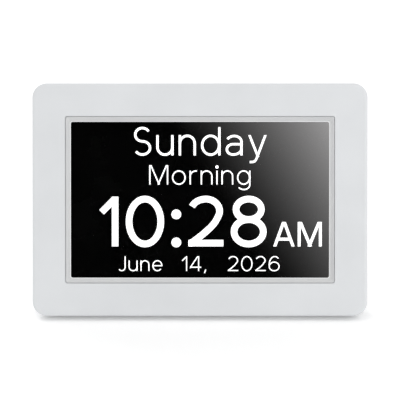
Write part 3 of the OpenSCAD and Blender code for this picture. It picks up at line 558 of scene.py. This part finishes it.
# Display tail: a ribbon of amber polyimide film with copper tracks, folded once behind the module.
tail_film = surface(
    "tail_film", shade(168, 98, 34), shade(196, 124, 48), (0.3, 0.45), grain=2.0, relief=0.02,
    patch=1.1, stretch=(1, 0.02, 0.02),
)
dress(tail_film, "lcd_tail")

# Straps and their screws: four steel straps, stamped and zinc plated, hold the display down.
strap_steel = surface(
    "strap_steel", shade(172, 174, 176), shade(190, 192, 194), (0.3, 0.45), grain=1.4,
    relief=0.02, patch=0.4, stretch=(1, 1, 0.2), edge=0.12, metal=1.0,
)
dress(strap_steel, "panel_clamps")
screw_steel = surface(
    "screw_steel", shade(150, 152, 154), shade(172, 173, 174), (0.28, 0.4), grain=3.0,
    relief=0.01, patch=0.9, edge=0.1, metal=1.0,
)
dress(screw_steel, "clamp_screws", "board_screws", "cover_screws")

# Main board: glass-epoxy laminate under a green solder mask, with copper tracks that show through.
board_green = surface(
    "board_green", shade(16, 78, 46), shade(24, 98, 58), (0.28, 0.4), grain=1.2, relief=0.03,
    patch=0.7, stretch=(0.25, 1, 1),
)
dress(board_green, "main_board")
chip_black = surface(
    "chip_black", shade(24, 24, 26), shade(34, 34, 36), (0.5, 0.65), grain=5.0, relief=0.02,
    edge=0.12,
)
dress(chip_black, "board_chips", "power_coil")
ivory = surface(
    "ivory", shade(226, 218, 198), shade(236, 229, 212), (0.4, 0.55), grain=3.0, relief=0.01,
    edge=0.12,
)
dress(ivory, "tail_connector", "speaker_connector")

# Key switches: five small switches with black bodies, each with a round plunger that its button
# pushes.
switch_black = surface(
    "switch_black", shade(28, 28, 29), shade(40, 40, 41), (0.4, 0.55), grain=4.0, relief=0.015,
    edge=0.1,
)
dress(switch_black, "key_switches")
KEYS = ("menu", "back", "down", "up", "set")
for key in KEYS:
    dress(switch_black, key + "_plunger")

# Buttons: five caps moulded in the cover's plastic, a shade darker, that stand out of its back.
button_plastic = surface(
    "button_plastic", shade(198, 201, 204), shade(203, 206, 209), (0.36, 0.46), grain=5.0,
    relief=0.01, patch=0.1, edge=0.35,
)
for key in KEYS:
    dress(button_plastic, key + "_button")

# Backup cell: a steel coin cell in a black moulded cup.
holder_black = surface(
    "holder_black", shade(20, 20, 21), shade(30, 30, 31), (0.45, 0.6), grain=4.0, relief=0.015,
    edge=0.15,
)
dress(holder_black, "cell_holder")
cell_steel = surface(
    "cell_steel", shade(196, 197, 196), shade(208, 209, 208), (0.2, 0.32), grain=1.5, relief=0.01,
    patch=0.5, metal=1.0,
)
dress(cell_steel, "backup_cell")

# Capacitors: aluminium cans, each crimped on a square base.
can_aluminium = surface(
    "can_aluminium", shade(200, 201, 204), shade(212, 213, 215), (0.25, 0.38), grain=1.2,
    relief=0.01, patch=0.6, edge=0.2, metal=1.0,
)
dress(can_aluminium, "capacitors")

# Power socket: a black block with a round mouth and a turned brass contact in its middle.
socket_black = surface(
    "socket_black", shade(18, 18, 19), shade(27, 27, 28), (0.35, 0.5), grain=4.0, relief=0.012,
    edge=0.15,
)
dress(socket_black, "power_socket")
brass = surface(
    "brass", shade(206, 170, 92), shade(220, 188, 112), (0.22, 0.35), grain=2.5, relief=0.01,
    patch=1.0, stretch=(0.3, 1, 1), edge=0.1, metal=1.0,
)
dress(brass, "power_contact")

# Speaker: a pressed steel basket with a ferrite magnet behind and a black paper cone in front,
# seated on a ring of foam against the grille.
basket_steel = surface(
    "basket_steel", shade(164, 166, 168), shade(182, 184, 186), (0.32, 0.46), grain=1.4,
    relief=0.02, patch=0.4, edge=0.15, metal=1.0,
)
dress(basket_steel, "speaker_basket")
magnet_grey = surface(
    "magnet_grey", shade(62, 63, 65), shade(76, 77, 79), (0.5, 0.65), grain=2.5, relief=0.03,
    patch=0.6,
)
dress(magnet_grey, "speaker_magnet")
cone_paper = surface(
    "cone_paper", shade(30, 30, 31), shade(44, 43, 43), (0.7, 0.85), grain=2.4, relief=0.06,
    patch=0.5,
)
dress(cone_paper, "speaker_cone")
dress(foam, "speaker_foam")

# Speaker leads: stranded copper in red and in black vinyl, a little glossy.
red_vinyl = surface(
    "red_vinyl", shade(168, 22, 24), shade(186, 30, 30), (0.3, 0.4), grain=2.0, relief=0.01,
)
dress(red_vinyl, "red_wire")
black_vinyl = surface(
    "black_vinyl", shade(20, 20, 21), shade(30, 30, 31), (0.3, 0.4), grain=2.0, relief=0.01,
)
dress(black_vinyl, "black_wire")

# Rear cover: the frame's plastic with a coarser, matt spark texture, moulded with the recess for
# the leg, the keyholes, the vents and the speaker's grille, and screwed on at its corners.
cover_plastic = surface(
    "cover_plastic", shade(219, 221, 223), shade(223, 225, 227), (0.52, 0.62), grain=2.6,
    relief=0.03, patch=0.03, edge=0.3,
)
dress(cover_plastic, "rear_cover")

# Feet: two wedges of grey rubber, each pushed by its peg into the cover's lower wall.
foot_rubber = surface(
    "foot_rubber", shade(52, 53, 55), shade(63, 64, 66), (0.7, 0.85), grain=2.0, relief=0.05,
    patch=0.4, edge=0.25,
)
dress(foot_rubber, "left_foot", "right_foot")

# Leg: a flat moulding in the cover's plastic that folds out on a steel pin, with a rubber pad
# pressed into its end.
leg_plastic = surface(
    "leg_plastic", shade(217, 219, 221), shade(221, 223, 225), (0.5, 0.6), grain=2.6, relief=0.03,
    patch=0.04, edge=0.3,
)
dress(leg_plastic, "stand_leg")
dress(foot_rubber, "leg_pad")
pin_steel = surface(
    "pin_steel", shade(168, 170, 172), shade(186, 187, 189), (0.2, 0.32), grain=2.0, relief=0.008,
    patch=0.8, stretch=(0.2, 1, 1), edge=0.1, metal=1.0,
)
dress(pin_steel, "hinge_pin")

# Studio: a wide pale table top in an even white room, three soft lamps and the camera, nearly
# square to the clock's face. A black card before the clock keeps the screen's reflection dark.
TABLE_HALF, UNDER_FEET = 4.0, 0.00003
table = bmesh.new()
bmesh.ops.create_grid(table, x_segments=1, y_segments=1, size=TABLE_HALF)
bmesh.ops.translate(table, verts=table.verts, vec=(0, 0, -UNDER_FEET))
table_mesh = bpy.data.meshes.new("table_top")
table.to_mesh(table_mesh)
table.free()
table_top = bpy.data.objects.new("table_top", table_mesh)
bpy.context.scene.collection.objects.link(table_top)
table_white = bpy.data.materials.new("table_white")
table_white.use_nodes = True
tree = table_white.node_tree
paint = tree.nodes["Principled BSDF"]
paint.inputs["Specular IOR Level"].default_value = 0.1
paint.inputs["Roughness"].default_value = 0.9
here = tree.nodes.new("ShaderNodeTexCoord")
tree.links.new(
    two_tone(
        tree, between(tree, speckle(tree, here.outputs["Object"], 3.0, 4.0), 0, 1),
        (0.965, 0.965, 0.965, 1), (0.975, 0.975, 0.975, 1),
    ),
    paint.inputs["Base Color"],
)
lift = tree.nodes.new("ShaderNodeEmission")
whiter = tree.nodes.new("ShaderNodeAddShader")


def looked_at(tree):
    """1 for the rays that see a thing, also in glass and in metal, and 0 for its light."""
    ray = tree.nodes.new("ShaderNodeLightPath").outputs
    seen = sum_of(tree, "MAXIMUM", ray["Is Camera Ray"], ray["Is Glossy Ray"])
    return sum_of(tree, "MAXIMUM", seen, ray["Is Transmission Ray"])


far = tree.nodes.new("ShaderNodeVectorMath")
far.operation = "LENGTH"
tree.links.new(here.outputs["Object"], far.inputs[0])
# The table top grows paler away from the clock, so that its far edge melts into the room.
NEAR, FAR = 0.4, 1.4
paler = between(tree, far.outputs["Value"], 0.19, 0.28, NEAR, FAR)
tree.links.new(sum_of(tree, "MULTIPLY", looked_at(tree), paler), lift.inputs["Strength"])
tree.links.new(paint.outputs["BSDF"], whiter.inputs[0])
tree.links.new(lift.outputs["Emission"], whiter.inputs[1])
tree.links.new(whiter.outputs["Shader"], tree.nodes["Material Output"].inputs["Surface"])
table_mesh.materials.append(table_white)

world = bpy.data.worlds.new("studio")
bpy.context.scene.world = world
world.use_nodes = True
tree = world.node_tree
lit = tree.nodes["Background"]
lit.inputs["Color"].default_value = (1, 1, 1, 1)
lit.inputs["Strength"].default_value = 0.813
seen = tree.nodes.new("ShaderNodeBackground")
seen.inputs["Color"].default_value = (1, 1, 1, 1)
seen.inputs["Strength"].default_value = 1.0
pick = tree.nodes.new("ShaderNodeMixShader")
tree.links.new(looked_at(tree), pick.inputs["Fac"])
tree.links.new(lit.outputs["Background"], pick.inputs[1])
tree.links.new(seen.outputs["Background"], pick.inputs[2])
tree.links.new(pick.outputs["Shader"], tree.nodes["World Output"].inputs["Surface"])

# The camera and the lamps aim just under the middle of the face.
AIM_UP = 0.0694
face_middle = stand_up @ Vector((0, 0, AIM_UP))


def soft_lamp(name, spot, size, watts):
    """A square softbox that looks at the clock."""
    light = bpy.data.lights.new(name, "AREA")
    light.shape = "SQUARE"
    light.size = size
    light.energy = watts
    lamp_object = bpy.data.objects.new(name, light)
    lamp_object.location = spot
    lamp_object.rotation_euler = (face_middle - Vector(spot)).to_track_quat("-Z", "Y").to_euler()
    bpy.context.scene.collection.objects.link(lamp_object)


soft_lamp("front_softbox", (0.8, -0.95, 0.2), 0.5, 2.7)
soft_lamp("top_softbox", (-0.3, -0.35, 1.2), 0.6, 1.0)
soft_lamp("back_softbox", (-0.55, 0.95, 0.8), 0.6, 3.0)

VIEW_UP = radians(17)
AWAY = 2.0
PICTURE_WIDE = 2 * MIDDLE_COLUMN * PX / 1000
camera = bpy.data.cameras.new("camera")
camera.sensor_width = 36
camera.lens = camera.sensor_width * AWAY / PICTURE_WIDE
camera.clip_start = 0.01
camera_object = bpy.data.objects.new("camera", camera)
camera_object.location = face_middle + Vector((0, -cos(VIEW_UP), sin(VIEW_UP))) * AWAY
camera_object.rotation_euler = (radians(90) - VIEW_UP, 0, 0)
bpy.context.scene.collection.objects.link(camera_object)
bpy.context.scene.camera = camera_object

CARD_WIDE, CARD_TALL, CARD_AWAY = 0.9, 0.8, 1.0
card = bmesh.new()
bmesh.ops.create_grid(card, x_segments=1, y_segments=1, size=0.5)
bmesh.ops.scale(card, vec=(CARD_WIDE, CARD_TALL, 1), verts=card.verts)
card_mesh = bpy.data.meshes.new("black_card")
card.to_mesh(card_mesh)
card.free()
black_card = bpy.data.objects.new("black_card", card_mesh)
tilt = 2 * LEAN - VIEW_UP
black_card.location = face_middle + Vector((0, -cos(tilt), sin(tilt))) * CARD_AWAY
black_card.rotation_euler = (radians(90) - tilt, 0, 0)
bpy.context.scene.collection.objects.link(black_card)
for kind in ("camera", "diffuse", "transmission", "shadow", "volume_scatter"):
    setattr(black_card, "visible_" + kind, False)
card_black = bpy.data.materials.new("card_black")
card_black.use_nodes = True
tree = card_black.node_tree
cloth = tree.nodes["Principled BSDF"]
cloth.inputs["Specular IOR Level"].default_value = 0.0
here = tree.nodes.new("ShaderNodeTexCoord")
tree.links.new(
    two_tone(
        tree, speckle(tree, here.outputs["Object"], 40.0), (0.001, 0.001, 0.001, 1),
        (0.003, 0.003, 0.003, 1),
    ),
    cloth.inputs["Base Color"],
)
card_mesh.materials.append(card_black)

bpy.context.scene.view_settings.view_transform = "Standard"
